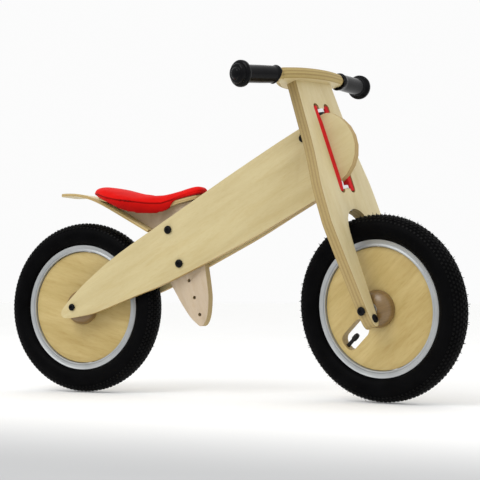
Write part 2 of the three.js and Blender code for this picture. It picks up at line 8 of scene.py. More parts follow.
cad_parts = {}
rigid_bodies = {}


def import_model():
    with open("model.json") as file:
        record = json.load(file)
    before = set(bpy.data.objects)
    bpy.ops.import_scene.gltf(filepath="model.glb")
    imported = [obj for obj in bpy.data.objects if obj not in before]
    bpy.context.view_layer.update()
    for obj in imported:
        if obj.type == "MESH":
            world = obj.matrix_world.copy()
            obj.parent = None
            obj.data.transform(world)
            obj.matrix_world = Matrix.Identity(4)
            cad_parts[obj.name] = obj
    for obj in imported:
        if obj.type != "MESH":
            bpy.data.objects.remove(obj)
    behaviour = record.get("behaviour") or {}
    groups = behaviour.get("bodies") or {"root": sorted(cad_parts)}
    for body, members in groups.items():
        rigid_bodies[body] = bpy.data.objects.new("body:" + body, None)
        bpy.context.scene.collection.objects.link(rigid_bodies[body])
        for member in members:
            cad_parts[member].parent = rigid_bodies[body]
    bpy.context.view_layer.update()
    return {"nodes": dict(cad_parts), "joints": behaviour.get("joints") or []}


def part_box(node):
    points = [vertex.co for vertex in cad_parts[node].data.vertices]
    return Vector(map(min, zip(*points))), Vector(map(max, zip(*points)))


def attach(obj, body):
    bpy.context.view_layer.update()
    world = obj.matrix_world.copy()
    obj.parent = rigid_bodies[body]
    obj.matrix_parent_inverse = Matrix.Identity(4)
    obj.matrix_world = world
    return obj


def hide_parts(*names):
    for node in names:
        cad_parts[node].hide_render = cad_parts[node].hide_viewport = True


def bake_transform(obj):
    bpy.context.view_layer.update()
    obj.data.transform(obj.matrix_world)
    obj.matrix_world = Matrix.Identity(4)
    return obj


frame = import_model()
mm = 0.001

# places of the moving groups, from the joints
steering = next(j for j in frame["joints"] if j["name"] == "steering")
rearSpin = next(j for j in frame["joints"] if j["name"] == "rear_wheel_spin")
steerAxis = Vector(steering["axis"])
headAngle = math.atan2(-steerAxis.x, steerAxis.z)
steerAtRest = math.radians(-13)
forkPlace = (Matrix.Translation(steering["pos_m"]) @ Matrix.Rotation(-headAngle, 4, "Y")
             @ Matrix.Rotation(steerAtRest, 4, "Z"))
rearPlace = Matrix.Translation(rearSpin["pos_m"])
framePlace = Matrix.Translation((rearSpin["pos_m"][0], 0, 0))
wheelPlaces = {"front": forkPlace, "rear": rearPlace}
halfTurn = Matrix.Rotation(math.pi, 4, "Z")
sides = {"left": 1, "right": -1}


def alongBike(x):
    # millimetres ahead of the rear axle
    return (x - framePlace.translation.x) / mm


def lineAt(points, at):
    # height or width of a line of (along, value) points, held level past its ends
    if at <= points[0][0]:
        return points[0][1]
    for (x0, v0), (x1, v1) in zip(points, points[1:]):
        if at <= x1:
            return v0 + (v1 - v0) * (at - x0) / (x1 - x0)
    return points[-1][1]


def clearSelection():
    if bpy.context.object and bpy.context.object.mode != "OBJECT":
        bpy.ops.object.mode_set(mode="OBJECT")
    bpy.ops.object.select_all(action="DESELECT")


def pick(piece):
    clearSelection()
    piece.select_set(True)
    bpy.context.view_layer.objects.active = piece


def joinInto(piece, others):
    clearSelection()
    for other in (*others, piece):
        other.select_set(True)
    bpy.context.view_layer.objects.active = piece
    bpy.ops.object.join()
    return piece


def applyModifier(piece, kind, **settings):
    pick(piece)
    modifier = piece.modifiers.new(kind.title(), kind)
    for key, value in settings.items():
        setattr(modifier, key, value)
    bpy.ops.object.modifier_apply(modifier=modifier.name)


def smooth(piece, angle=35):
    pick(piece)
    bpy.ops.object.shade_smooth_by_angle(angle=math.radians(angle))


def seat(piece, body, nodes):
    pick(piece)
    bpy.ops.object.transform_apply(location=True, rotation=True, scale=True)
    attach(piece, body)
    if nodes:
        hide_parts(*nodes)


def copyOf(cadName, name):
    # a copy of a CAD node with its loose triangles joined up
    pick(frame["nodes"][cadName])
    bpy.ops.object.duplicate()
    piece = bpy.context.object
    bpy.ops.object.parent_clear(type="CLEAR_KEEP_TRANSFORM")
    for key in [k for k in piece.keys() if k.startswith("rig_")]:
        del piece[key]
    piece.name = name
    piece.data.materials.clear()
    bpy.ops.object.mode_set(mode="EDIT")
    bpy.ops.mesh.select_all(action="SELECT")
    bpy.ops.mesh.remove_doubles(threshold=2e-5)
    bpy.ops.mesh.dissolve_limited(angle_limit=math.radians(0.8))
    bpy.ops.object.mode_set(mode="OBJECT")
    return piece


def dressCad(name, material):
    # a CAD node that stays as it is, with a better material
    materials = frame["nodes"][name].data.materials
    materials.clear()
    materials.append(material)


def turnFacesOut(piece):
    pick(piece)
    bpy.ops.object.mode_set(mode="EDIT")
    bpy.ops.mesh.select_all(action="SELECT")
    bpy.ops.mesh.normals_make_consistent(inside=False)
    bpy.ops.object.mode_set(mode="OBJECT")


def mirrored(half):
    # a lathe profile made whole from its +Y half
    return half + [(radius, -along) for radius, along in reversed(half)]


def turned(name, profile, place, steps=64):
    # a lathe piece: (radius, along) points in mm, spun about the place's Y axis
    clearSelection()
    bpy.ops.mesh.primitive_circle_add(vertices=len(profile), radius=0.01)
    piece = bpy.context.object
    piece.name = name
    for vertex, (radius, along) in zip(piece.data.vertices, profile):
        vertex.co = (radius * mm, along * mm, 0)
    bpy.ops.object.mode_set(mode="EDIT")
    bpy.ops.mesh.select_all(action="SELECT")
    bpy.ops.mesh.spin(steps=steps, angle=2 * math.pi, center=(0, 0, 0), axis=(0, 1, 0))
    bpy.ops.mesh.select_all(action="SELECT")
    bpy.ops.mesh.remove_doubles(threshold=1e-6)
    bpy.ops.mesh.dissolve_degenerate(threshold=1e-6)
    bpy.ops.mesh.delete_loose(use_verts=True, use_edges=True, use_faces=False)
    bpy.ops.mesh.select_all(action="SELECT")
    bpy.ops.mesh.normals_make_consistent(inside=False)
    bpy.ops.object.mode_set(mode="OBJECT")
    piece.data.transform(place)
    return piece


# materials

def newMaterial(name):
    material = bpy.data.materials.new(name)
    material.use_nodes = True
    tree = material.node_tree
    shader = tree.nodes["Principled BSDF"]
    return material, tree, shader


def node(tree, kind, **settings):
    made = tree.nodes.new(kind)
    for key, value in settings.items():
        setattr(made, key, value)
    return made


def link(tree, out, into):
    tree.links.new(out, into)


def localCoords(tree, place=None, turn=(0, 0, 0), scale=(1, 1, 1)):
    # Object coordinates, taken back to a group's own axes, then turned and stretched along the grain
    coords = node(tree, "ShaderNodeTexCoord")
    out = coords.outputs["Object"]
    if place is not None:
        back = place.inverted()
        home = node(tree, "ShaderNodeMapping")
        home.inputs["Location"].default_value = back.translation
        home.inputs["Rotation"].default_value = back.to_euler("XYZ")
        link(tree, out, home.inputs["Vector"])
        out = home.outputs["Vector"]
    turning = node(tree, "ShaderNodeMapping")
    turning.inputs["Rotation"].default_value = [math.radians(a) for a in turn]
    link(tree, out, turning.inputs["Vector"])
    stretch = node(tree, "ShaderNodeMapping")
    stretch.inputs["Scale"].default_value = scale
    link(tree, turning.outputs["Vector"], stretch.inputs["Vector"])
    return stretch.outputs["Vector"]


def ramp(tree, factor, stops, interpolation="LINEAR"):
    made = node(tree, "ShaderNodeValToRGB")
    made.color_ramp.interpolation = interpolation
    elements = made.color_ramp.elements
    while len(elements) < len(stops):
        elements.new(0.5)
    for element, (position, color) in zip(elements, stops):
        element.position = position
        element.color = (*color, 1) if len(color) == 3 else (color[0], color[0], color[0], 1)
    link(tree, factor, made.inputs["Fac"])
    return made.outputs["Color"]


def mix(tree, factor, a, b, blend="MIX"):
    made = node(tree, "ShaderNodeMix", data_type="RGBA", blend_type=blend)
    if isinstance(factor, (int, float)):
        made.inputs["Factor"].default_value = factor
    else:
        link(tree, factor, made.inputs["Factor"])
    for value, socket in ((a, made.inputs["A"]), (b, made.inputs["B"])):
        if isinstance(value, tuple):
            socket.default_value = (*value, 1)
        else:
            link(tree, value, socket)
    return made.outputs["Result"]


def noise(tree, coords, scale, detail=4, roughness=0.5, distortion=0.0):
    made = node(tree, "ShaderNodeTexNoise")
    made.inputs["Scale"].default_value = scale
    made.inputs["Detail"].default_value = detail
    made.inputs["Roughness"].default_value = roughness
    made.inputs["Distortion"].default_value = distortion
    link(tree, coords, made.inputs["Vector"])
    return made.outputs["Fac"]


def bump(tree, shader, height, strength, distance):
    made = node(tree, "ShaderNodeBump")
    made.inputs["Strength"].default_value = strength
    made.inputs["Distance"].default_value = distance
    link(tree, height, made.inputs["Height"])
    link(tree, made.outputs["Normal"], shader.inputs["Normal"])


def veneer(name, look, place=None):
    # face veneer: slow clouds, a wavy figure and fine pores, all along the local X axis once turned
    material, tree, shader = newMaterial(name)
    along = localCoords(tree, place, look["turn"], look["stretch"])
    clouds = ramp(tree, noise(tree, along, look["clouds"], 3, 0.55, 0.4),
                  [(0.30, look["dark"]), (0.62, look["light"])])
    figure = ramp(tree, noise(tree, along, look["figure"], 5, 0.6, look["wave"]),
                  [(0.35, look["line"]), (0.56, (1, 1, 1))])
    colored = mix(tree, look["figureMix"], clouds, figure, "MULTIPLY")
    pores = noise(tree, along, look["pores"], 2, 0.5)
    poreTint = ramp(tree, pores, [(0.25, look["poreColor"]), (0.5, (1, 1, 1))])
    colored = mix(tree, look["poreMix"], colored, poreTint, "MULTIPLY")
    link(tree, colored, shader.inputs["Base Color"])
    shader.inputs["Roughness"].default_value = look["roughness"]
    shader.inputs["Coat Weight"].default_value = look["coat"]
    shader.inputs["Coat Roughness"].default_value = 0.32
    bump(tree, shader, pores, 0.15, 0.0002)
    return material


def plyEdge(name, look):
    # the board's edge: glue lines and end grain layers across the ply attribute
    material, tree, shader = newMaterial(name)
    attribute = node(tree, "ShaderNodeAttribute", attribute_name="ply")
    coords = node(tree, "ShaderNodeTexCoord")
    wobble = noise(tree, coords.outputs["Object"], 60, 2)
    layers = node(tree, "ShaderNodeMath", operation="MULTIPLY_ADD")
    layers.inputs[1].default_value = look["layers"]
    link(tree, attribute.outputs["Fac"], layers.inputs[0])
    shift = node(tree, "ShaderNodeMath", operation="MULTIPLY")
    shift.inputs[1].default_value = 0.25
    link(tree, wobble, shift.inputs[0])
    link(tree, shift.outputs[0], layers.inputs[2])
    fold = node(tree, "ShaderNodeMath", operation="PINGPONG")
    fold.inputs[1].default_value = 1
    link(tree, layers.outputs[0], fold.inputs[0])
    banded = ramp(tree, fold.outputs[0], [(0.0, look["glue"]), (0.12, look["cross"]), (0.42, look["cross"]),
                                          (0.55, look["long"]), (1.0, look["long"])])
    fibres = noise(tree, coords.outputs["Object"], 420, 3, 0.6)
    tint = ramp(tree, fibres, [(0.3, look["fibre"]), (0.6, (1, 1, 1))])
    colored = mix(tree, 0.55, banded, tint, "MULTIPLY")
    link(tree, colored, shader.inputs["Base Color"])
    shader.inputs["Roughness"].default_value = 0.6
    bump(tree, shader, fibres, 0.2, 0.0003)
    return material


def metal(name, look):
    material, tree, shader = newMaterial(name)
    along = localCoords(tree)
    streaks = noise(tree, along, look["scale"], 3, 0.6)
    link(tree, ramp(tree, streaks, [(0.3, look["dark"]), (0.7, look["light"])]), shader.inputs["Base Color"])
    rough = node(tree, "ShaderNodeMapRange")
    rough.inputs["To Min"].default_value = look["roughness"][0]
    rough.inputs["To Max"].default_value = look["roughness"][1]
    link(tree, streaks, rough.inputs["Value"])
    link(tree, rough.outputs["Result"], shader.inputs["Roughness"])
    shader.inputs["Metallic"].default_value = look["metallic"]
    shader.inputs["Specular IOR Level"].default_value = look.get("specular", 0.5)
    bump(tree, shader, streaks, 0.08, 0.0002)
    return material


def rubber(name, look):
    material, tree, shader = newMaterial(name)
    along = localCoords(tree)
    grime = noise(tree, along, look["scale"], 5, 0.6)
    fine = noise(tree, along, look["fine"], 2, 0.5)
    link(tree, ramp(tree, grime, [(0.3, look["dark"]), (0.7, look["light"])]), shader.inputs["Base Color"])
    shader.inputs["Roughness"].default_value = look["roughness"]
    shader.inputs["Specular IOR Level"].default_value = look["specular"]
    bump(tree, shader, fine, look["bump"], 0.0004)
    return material


birchLook = {"light": (0.67, 0.57, 0.325), "dark": (0.59, 0.485, 0.25), "line": (0.90, 0.84, 0.72),
             "poreColor": (0.86, 0.78, 0.62), "turn": (0, 30, 0), "stretch": (1, 1, 7), "clouds": 5.0,
             "figure": 9.0, "wave": 1.2, "figureMix": 0.45, "pores": 120.0, "poreMix": 0.35,
             "roughness": 0.5, "coat": 0.12}
panelVeneer = veneer("panelVeneer", {**birchLook, "light": (0.62, 0.523, 0.278), "dark": (0.55, 0.45, 0.225)})
forkVeneer = veneer("forkVeneer", {**birchLook, "stretch": (6, 6, 1), "turn": (0, 0, 0), "clouds": 7.0,
                                   "figureMix": 0.35}, forkPlace)
barVeneer = veneer("barVeneer", {**birchLook, "stretch": (8, 1, 8), "turn": (0, 0, 0)}, forkPlace)
guardVeneer = veneer("guardVeneer", {**birchLook, "turn": (0, 0, 0), "stretch": (1, 9, 9)})
seatVeneer = veneer("seatVeneer", {**birchLook, "light": (0.585, 0.475, 0.345), "dark": (0.51, 0.40, 0.28),
                                   "turn": (0, -70, 0)})
discLook = {**birchLook, "light": (0.56, 0.43, 0.175), "dark": (0.45, 0.325, 0.105),
            "line": (0.86, 0.78, 0.62), "clouds": 6.0, "figure": 8.0, "wave": 2.6, "pores": 90.0,
            "poreMix": 0.5, "coat": 0.15}
discVeneers = {
    "front": veneer("frontDiscVeneer", {**discLook, "turn": (0, 22, 0), "figureMix": 0.4}, forkPlace),
    "rear": veneer("rearDiscVeneer", {**discLook, "turn": (0, -14, 0), "figureMix": 0.35}, rearPlace),
}
edgeLook = {"layers": 3, "glue": (0.25, 0.16, 0.058), "cross": (0.37, 0.265, 0.105),
            "long": (0.43, 0.32, 0.13), "fibre": (0.84, 0.77, 0.64)}
panelEdge = plyEdge("panelEdge", {**edgeLook, "cross": (0.42, 0.275, 0.09), "long": (0.50, 0.345, 0.125)})
forkEdge = plyEdge("forkEdge", {**edgeLook, "layers": 6, "glue": (0.30, 0.20, 0.075)})
barEdge = plyEdge("barEdge", {**edgeLook, "layers": 7, "cross": (0.38, 0.27, 0.09),
                              "long": (0.47, 0.355, 0.13), "glue": (0.27, 0.18, 0.06)})
guardEdge = plyEdge("guardEdge", {**edgeLook, "cross": (0.46, 0.33, 0.13), "long": (0.58, 0.44, 0.20)})
rimMetal = metal("rimMetal", {"scale": 25, "dark": (0.40, 0.415, 0.42), "light": (0.47, 0.485, 0.49),
                              "roughness": (0.42, 0.5), "metallic": 0.7, "specular": 0.3})
zincMetal = metal("zincMetal", {"scale": 300, "dark": (0.70, 0.71, 0.73), "light": (0.86, 0.87, 0.88),
                                "roughness": (0.25, 0.4), "metallic": 0.9})
blackMetal = metal("blackMetal", {"scale": 200, "dark": (0.004, 0.004, 0.005), "light": (0.010, 0.010, 0.011),
                                  "roughness": (0.3, 0.45), "metallic": 0.0, "specular": 0.07})
tyreRubber = rubber("tyreRubber", {
    "scale": 30, "fine": 700, "dark": (0.0008, 0.0008, 0.0010), "light": (0.0024, 0.0024, 0.0028),
    "roughness": 0.5, "specular": 0.03, "bump": 0.5})
# painted highlight: the knobs and hairs get a lighter black than the sidewall, for the light their tops catch
litTreadRubber = rubber("litTreadRubber", {
    "scale": 30, "fine": 500, "dark": (0.0015, 0.0015, 0.0015), "light": (0.006, 0.006, 0.006),
    "roughness": 0.45, "specular": 0.07, "bump": 0.3})
capPlastic = rubber("capPlastic", {
    "scale": 200, "fine": 1500, "dark": (0.006, 0.006, 0.006), "light": (0.009, 0.009, 0.010),
    "roughness": 0.45, "specular": 0.25, "bump": 0.1})
gripVinyl = rubber("gripVinyl", {
    "scale": 60, "fine": 700, "dark": (0.003, 0.003, 0.0035), "light": (0.004, 0.004, 0.005),
    "roughness": 0.2, "specular": 0.1, "bump": 0.04})
padFoam = rubber("padFoam", {
    "scale": 90, "fine": 1400, "dark": (0.50, 0.010, 0.012), "light": (0.72, 0.018, 0.022),
    "roughness": 0.8, "specular": 0.2, "bump": 0.4})


hubLook = {"rings": 190, "wobble": 0.5, "stretch": (1, 0.25, 8), "figure": 30, "dark": (0.165, 0.095, 0.030),
           "light": (0.26, 0.16, 0.055), "line": (0.86, 0.82, 0.78), "lineMix": 0.6, "roughness": 0.36,
           "coat": 0.35}


def turnedWood(name, place):
    # beech with fine rings left by the lathe round the axle
    material, tree, shader = newMaterial(name)
    rings = node(tree, "ShaderNodeTexWave", wave_type="RINGS", rings_direction="Y")
    rings.inputs["Scale"].default_value = hubLook["rings"]
    rings.inputs["Distortion"].default_value = hubLook["wobble"]
    link(tree, localCoords(tree, place), rings.inputs["Vector"])
    grain = localCoords(tree, place, (0, 0, 0), hubLook["stretch"])
    figure = ramp(tree, noise(tree, grain, hubLook["figure"], 4, 0.5, 0.8),
                  [(0.25, hubLook["dark"]), (0.75, hubLook["light"])])
    lines = ramp(tree, rings.outputs["Fac"], [(0.0, hubLook["line"]), (0.6, (1, 1, 1))])
    link(tree, mix(tree, hubLook["lineMix"], figure, lines, "MULTIPLY"), shader.inputs["Base Color"])
    shader.inputs["Roughness"].default_value = hubLook["roughness"]
    shader.inputs["Coat Weight"].default_value = hubLook["coat"]
    shader.inputs["Coat Roughness"].default_value = 0.15
    bump(tree, shader, rings.outputs["Fac"], 0.1, 0.0002)
    return material


hubWoods = {end: turnedWood(end + "HubWood", place) for end, place in wheelPlaces.items()}


# the tones for below the seam, for the hem and for the seam line are painted shade
clothLook = {"fuzz": 1100, "patches": 26, "dark": (0.62, 0.005, 0.004), "light": (0.78, 0.009, 0.006),
             "underSeamShade": (0.8, 0.7, 0.7), "hemShade": (0.42, 0.3, 0.3), "seamShadeTone": (0.38, 0.3, 0.3),
             "roughness": 0.85, "specular": 0.05, "sheen": 0.08}


def saddleCloth():
    # red felted cloth with painted shade: darker down the skirt and in the crease of the stitched seam
    material, tree, shader = newMaterial("saddleCloth")
    along = localCoords(tree)
    fuzz = noise(tree, along, clothLook["fuzz"], 2, 0.7)
    shade = noise(tree, along, clothLook["patches"], 4, 0.6)
    red = ramp(tree, shade, [(0.3, clothLook["dark"]), (0.7, clothLook["light"])])
    skirtShade = node(tree, "ShaderNodeAttribute", attribute_name="skirtShade")
    # painted shade: darker below the seam, darkest at the hem
    lower = ramp(tree, skirtShade.outputs["Fac"],
                 [(0.0, (1, 1, 1)), (0.12, clothLook["underSeamShade"]), (1.0, clothLook["hemShade"])])
    # painted shade in the seam's crease: the cloth is darker along the seam line
    seamShade = node(tree, "ShaderNodeAttribute", attribute_name="seamShade")
    seamShading = ramp(tree, seamShade.outputs["Fac"], [(0.0, (1, 1, 1)), (1.0, clothLook["seamShadeTone"])])
    shaded = mix(tree, 1.0, red, lower, "MULTIPLY")
    link(tree, mix(tree, 1.0, shaded, seamShading, "MULTIPLY"), shader.inputs["Base Color"])
    shader.inputs["Roughness"].default_value = clothLook["roughness"]
    shader.inputs["Specular IOR Level"].default_value = clothLook["specular"]
    shader.inputs["Sheen Weight"].default_value = clothLook["sheen"]
    shader.inputs["Sheen Roughness"].default_value = 0.5
    bump(tree, shader, fuzz, 0.35, 0.0004)
    return material


redCloth = saddleCloth()
print("materials ready")

# boards: copies of the CAD boards with rounded edges, face veneer and ply edges
faceLimit = 0.93   # a polygon counts as a board's face when its normal is this much across the board


def dressBoard(piece, faces, edges, across, through):
    # across tells a face from an edge by its normal, through gives 0 to 1 through the thickness
    piece.data.materials.append(faces)
    piece.data.materials.append(edges)
    for polygon in piece.data.polygons:
        polygon.material_index = 0 if abs(across(polygon.normal)) > faceLimit else 1
    ply = piece.data.attributes.new("ply", "FLOAT", "POINT")
    for vertex, value in zip(piece.data.vertices, ply.data):
        value.value = through(vertex.co)


def roundEdges(piece, width, segments=3, angle=38):
    applyModifier(piece, "BEVEL", width=width * mm, segments=segments, limit_method="ANGLE",
                  angle_limit=math.radians(angle), use_clamp_overlap=True, miter_outer="MITER_ARC")
    pick(piece)
    bpy.ops.object.mode_set(mode="EDIT")
    bpy.ops.mesh.select_all(action="SELECT")
    bpy.ops.mesh.remove_doubles(threshold=1e-6)
    bpy.ops.object.mode_set(mode="OBJECT")


# the side panels; spread is how far the outer face stands from the middle, along the bike
panel = {"thickness": 9, "rounding": 1.3,
         "spread": [(-40, 49), (0, 45), (60, 39), (120, 33), (190, 25.4), (234, 21.2), (323, 15.4),
                    (400, 11.2), (440, 9.5), (470, 9.15), (560, 9.15)]}


def panelDepth(co):
    # 0 on the panel's inner face, 1 on its outer one
    return 1 - (lineAt(panel["spread"], alongBike(co.x)) - abs(co.y) / mm) / panel["thickness"]


for side in sides:
    board = copyOf("side_panel_" + side, "sidePanel" + side.title())
    roundEdges(board, panel["rounding"])
    dressBoard(board, panelVeneer, panelEdge, lambda n: n.y, panelDepth)
    smooth(board)
    seat(board, "frame", ["side_panel_" + side])

fork = {"thickness": 18, "rounding": 1.6}
forkX = forkPlace.to_3x3() @ Vector((1, 0, 0))
forkUp = forkPlace.to_3x3() @ Vector((0, 0, 1))
backToFork = forkPlace.inverted()
forkBoard = copyOf("fork_board", "forkBoard")
roundEdges(forkBoard, fork["rounding"])
dressBoard(forkBoard, forkVeneer, forkEdge, lambda n: n.dot(forkX),
           lambda co: (backToFork @ co).x / (fork["thickness"] * mm) + 0.5)
smooth(forkBoard)
seat(forkBoard, "fork", ["fork_board"])

plate = {"thickness": 16, "rounding": 1.3}
seatPlate = copyOf("seat_plate", "seatPlate")
roundEdges(seatPlate, plate["rounding"])
dressBoard(seatPlate, seatVeneer, forkEdge, lambda n: n.y, lambda co: co.y / (plate["thickness"] * mm) + 0.5)
smooth(seatPlate)
seat(seatPlate, "frame", ["seat_plate"])

wedge = {"thickness": 9, "rounding": 0.6}
for side in sides:
    packing = copyOf("seat_spacer_" + side, "seatPacking" + side.title())
    roundEdges(packing, wedge["rounding"], 2)
    dressBoard(packing, guardVeneer, panelEdge, lambda n: n.y,
               lambda co: abs(co.y) / (wedge["thickness"] * mm))
    smooth(packing)
    seat(packing, "frame", ["seat_spacer_" + side])


def depthBelow(line, thickness):
    # 0 at the line, 1 a thickness below it, for a bent strip
    points = [Vector((x * mm + framePlace.translation.x, z * mm)) for x, z in line]

    def through(co):
        spot = Vector((co.x, co.z))
        best = None
        for a, b in zip(points, points[1:]):
            along = b - a
            share = min(max((spot - a).dot(along) / along.length_squared, 0), 1)
            off = (spot - a - along * share).length
            best = off if best is None else min(best, off)
        return best / (thickness * mm)
    return through


# the lean lifts the strip's sloping faces over the limit for a face
guard = {"thickness": 4.8, "rounding": 1.2, "lean": 1.12,
         "line": [(-38, 350.6), (-20, 350.9), (0, 349.6), (20, 345.4), (40, 338.3), (62, 327.8), (84, 316),
                  (144, 283.2)]}
mudguard = copyOf("mudguard", "mudguardStrip")
roundEdges(mudguard, guard["rounding"], 3, 50)
dressBoard(mudguard, guardVeneer, guardEdge, lambda n: n.z * guard["lean"],
           depthBelow(guard["line"], guard["thickness"]))
smooth(mudguard, 40)
seat(mudguard, "frame", ["mudguard"])

shellBoard = {"thickness": 6, "rounding": 1.2,
              "line": [(36, 347), (55, 342.5), (79, 336.4), (119, 329.2), (147, 325.6), (166, 326.2),
                       (189, 332.6), (215, 338.5), (234, 341.9)]}
shell = copyOf("saddle_shell", "saddleShell")
roundEdges(shell, shellBoard["rounding"], 3, 50)
dressBoard(shell, guardVeneer, guardEdge, lambda n: n.z,
           depthBelow(shellBoard["line"], shellBoard["thickness"]))
smooth(shell, 40)
seat(shell, "frame", ["saddle_shell"])

discBoard = {"thickness": 17, "rounding": 1.0}
for end, place in wheelPlaces.items():
    axle = place.to_3x3() @ Vector((0, 1, 0))
    back = place.inverted()
    disc = copyOf(end + "_wheel_disc", end + "Disc")
    roundEdges(disc, discBoard["rounding"])
    dressBoard(disc, discVeneers[end], forkEdge, lambda n, a=axle: n.dot(a),
               lambda co, b=back: (b @ co).y / (discBoard["thickness"] * mm) + 0.5)
    smooth(disc)
    seat(disc, end + "_wheel", [end + "_wheel_disc"])
print("boards done")

# handlebar: a thick board with a rounded nose, and the two pegs inside the grips
handlebar = {"front": [(25, 0), (24.8, 12), (24.3, 25), (23.4, 38), (22, 50), (20.4, 61), (18.5, 72),
                       (16.8, 80), (15, 88)],
             "back": [(-10, 87.2), (-12, 76), (-15.2, 69), (-20, 62), (-24.3, 52), (-27, 42), (-29.2, 30),
                      (-30, 18), (-30.3, 8)],
             "bottom": 387, "top": 406, "rounding": 7.5, "pegRadius": 9.5, "pegFrom": -14, "pegTo": 80,
             "gripStart": (3, 89), "sweep": 7.3}
outline = (handlebar["front"] + handlebar["back"] + [(x, -y) for x, y in reversed(handlebar["back"])]
           + [(x, -y) for x, y in reversed(handlebar["front"][1:])])
barHeight = handlebar["top"] - handlebar["bottom"]


def gripPlace(sign):
    # where a grip starts, with its axis along Y, in the fork's own frame
    x, y = handlebar["gripStart"]
    middle = (handlebar["bottom"] + handlebar["top"]) / 2
    return (Matrix.Translation((x * mm, sign * y * mm, middle * mm))
            @ Matrix.Rotation(math.radians(handlebar["sweep"] * sign), 4, "Z"))


clearSelection()
bpy.ops.mesh.primitive_circle_add(vertices=len(outline), radius=0.05, fill_type="NGON")
bar = bpy.context.object
bar.name = "handlebarBoard"
for vertex, (x, y) in zip(bar.data.vertices, outline):
    vertex.co = (x * mm, y * mm, handlebar["bottom"] * mm)
bpy.ops.object.mode_set(mode="EDIT")
bpy.ops.mesh.select_all(action="SELECT")
bpy.ops.mesh.extrude_region_move(TRANSFORM_OT_translate={"value": (0, 0, barHeight * mm)})
bpy.ops.object.mode_set(mode="OBJECT")
turnFacesOut(bar)
roundEdges(bar, handlebar["rounding"], 6, 60)
pegLine = [(0, handlebar["pegFrom"]), (handlebar["pegRadius"], handlebar["pegFrom"]),
           (handlebar["pegRadius"], handlebar["pegTo"]), (0, handlebar["pegTo"] + 1)]
for sign in sides.values():
    joinInto(bar, [turned("peg", [(r, a * sign) for r, a in pegLine], gripPlace(sign), 32)])
bar.data.transform(forkPlace)
dressBoard(bar, barVeneer, barEdge, lambda n: n.dot(forkUp),
           lambda co: ((backToFork @ co).z / mm - handlebar["bottom"]) / barHeight)
smooth(bar, 50)
seat(bar, "fork", ["handlebar"])

# grips: soft sleeves with a rolled inner edge, a wide hand guard and a stepped end
grip = {"profile": [(9.8, 0.5), (13.2, 0.5), (14.6, 1.2), (15.2, 2.8), (14.7, 4.4), (13.9, 5.4), (13.8, 12),
                    (14.2, 40), (14.2, 71), (14.6, 74.6), (16.4, 76.6), (19.6, 77.8), (20.8, 79), (21, 81.4),
                    (20.9, 83.6), (19.9, 85.4), (17.4, 86.2), (16.2, 86.4), (15.8, 87.6), (15.5, 90),
                    (14.6, 91.4), (12.4, 91.9), (10, 92.1), (9.2, 92.9), (8.6, 94.6), (6.6, 95.9), (3, 96.3),
                    (0, 96.4), (0, 82.2), (9.8, 82.2)],
        "slant": {"left": -6, "right": 7}, "slantTo": 9, "radius": 14}
for side, sign in sides.items():
    place = forkPlace @ gripPlace(sign)
    sleeve = turned("grip" + side.title(), [(r, a * sign) for r, a in grip["profile"]], place, 64)
    back = place.inverted()
    for vertex in sleeve.data.vertices:   # the inner end is cut on a slant below
        spot = back @ vertex.co
        if spot.y * sign < grip["slantTo"] * mm and spot.z < 0:
            spot.y -= sign * grip["slant"][side] * spot.z / grip["radius"]
            vertex.co = place @ spot
    sleeve.data.materials.append(gripVinyl)
    smooth(sleeve, 50)
    seat(sleeve, "fork", ["grip_" + side])
print("handlebar done")

# tyres: the +Y half of the casing outside, its inside, and the knobs' length and width with their taper
tyre = {"half": [(103, 10.1), (110.4, 10.9), (111.2, 13.6), (112.6, 16.2), (115.4, 18.6), (119.5, 20.5),
                 (124.5, 21.6), (130, 21.9), (135.4, 21.0), (140, 18.6), (143.8, 15), (146.5, 10.4),
                 (147.9, 5.2), (148.2, 0)],
        "inner": [(145, 0), (143, 8), (138, 14.2), (130, 18.2), (118, 14.6), (103, 7)],
        "around": 120, "knob": (5.4, 3.5), "taper": (0.6, 0.8), "height": 1.4, "root": 1.2}
# knob rows: place across the tread, radius there, lean outwards
knobRows = [(0, 147.9, 0), (5.4, 147.5, 12), (10.4, 146.0, 28), (14.8, 143.4, 44), (18.2, 140.0, 60)]
# moulding hairs: the steps share out their places, lengths and splay; the gap by the floor is in radians
hairs = {"count": {"front": 420, "rear": 16}, "shortest": 3.3, "longest": 6.0, "base": 0.6, "tip": 0.3,
         "root": 1, "lean": 0.8, "splay": 18, "steps": (0.618034, 0.37, 0.53),
         "floorLean": 40, "floorGap": 0.5}


def knobAt(turn, radius, across, lean):
    clearSelection()
    bpy.ops.mesh.primitive_cube_add(size=1)
    knob = bpy.context.object
    long, wide = tyre["knob"]
    for vertex in knob.data.vertices:
        top = vertex.co.z > 0
        taperLong, taperWide = tyre["taper"] if top else (1, 1)
        vertex.co = (vertex.co.x * long * taperLong * mm, vertex.co.y * wide * taperWide * mm,
                     (tyre["height"] if top else -tyre["root"]) * mm)
    tilt = Matrix.Rotation(math.radians(-lean), 4, "X")
    outward = Matrix.Translation((0, across * mm, radius * mm))
    knob.data.transform(Matrix.Rotation(turn, 4, "Y") @ outward @ tilt)
    return knob


def treadBlocks():
    # one knob of every row, then the set repeated round the wheel
    blocks = []
    pitch = 2 * math.pi / tyre["around"]
    for row, (across, radius, lean) in enumerate(knobRows):
        for sign in ((1, -1) if across else (1,)):
            blocks.append(knobAt(pitch / 2 * (row % 2), radius, sign * across, sign * lean))
    tread = joinInto(blocks[0], blocks[1:])
    bpy.ops.object.empty_add(type="PLAIN_AXES", rotation=(0, pitch, 0))
    pivot = bpy.context.object
    applyModifier(tread, "ARRAY", count=tyre["around"], use_relative_offset=False, use_object_offset=True,
                  offset_object=pivot)
    bpy.data.objects.remove(pivot)
    return tread


